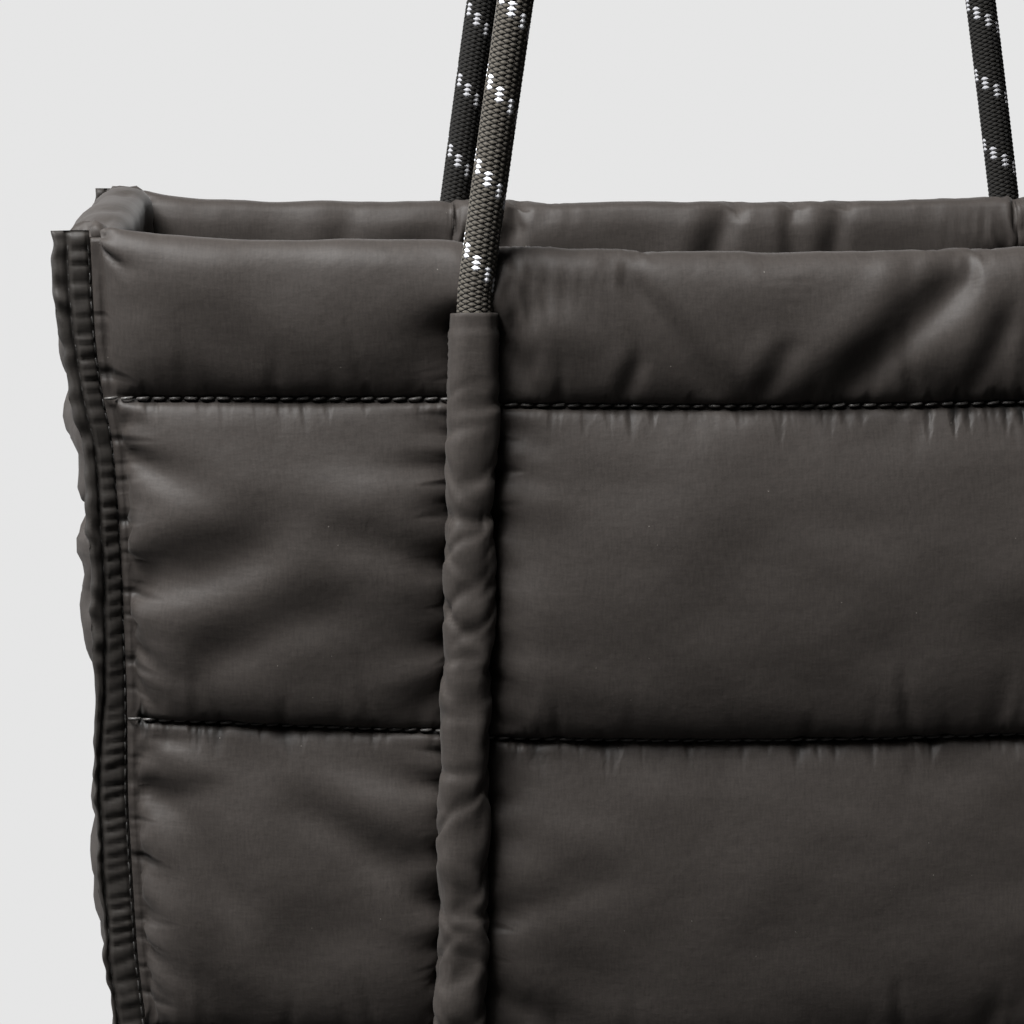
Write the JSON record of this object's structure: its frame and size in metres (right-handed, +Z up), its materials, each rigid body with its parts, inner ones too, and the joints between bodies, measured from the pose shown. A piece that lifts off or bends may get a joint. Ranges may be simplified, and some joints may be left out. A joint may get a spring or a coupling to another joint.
{
  "type": "quilted tote bag",
  "caption": "Open-topped quilted fabric tote bag with puffy horizontal channels, pinched corner seams and braided rope handles in upright sleeves.",
  "frame": {"origin": "middle of the underside, on the surface the bag stands on", "axes": "+X to the right across the front, +Y to the back, +Z up"},
  "size_m": [0.4218, 0.2048, 0.588],
  "materials": {
    "quilted_nylon": "satin plain-weave nylon, warm charcoal",
    "sleeve_nylon": "satin plain-weave nylon, warm charcoal, unpadded",
    "edge_nylon": "satin nylon seam edge, topstitched and puckered",
    "rope_braid": "matt round braid, dark olive with white tracer picks"
  },
  "bodies": {
    "root": {"front_left_field": "quilted_nylon", "front_centre_field": "quilted_nylon", "front_right_field": "quilted_nylon", "back_left_field": "quilted_nylon", "back_centre_field": "quilted_nylon", "back_right_field": "quilted_nylon", "left_gusset": "quilted_nylon", "right_gusset": "quilted_nylon", "base": "quilted_nylon", "front_left_rope_sleeve": "sleeve_nylon", "front_right_rope_sleeve": "sleeve_nylon", "back_left_rope_sleeve": "sleeve_nylon", "back_right_rope_sleeve": "sleeve_nylon", "front_handle_rope": "rope_braid", "back_handle_rope": "rope_braid", "front_left_seam_edge": "edge_nylon", "front_right_seam_edge": "edge_nylon", "back_left_seam_edge": "edge_nylon", "back_right_seam_edge": "edge_nylon", "left_foot_seam_edge": "edge_nylon", "right_foot_seam_edge": "edge_nylon"}
  },
  "joints": []
}
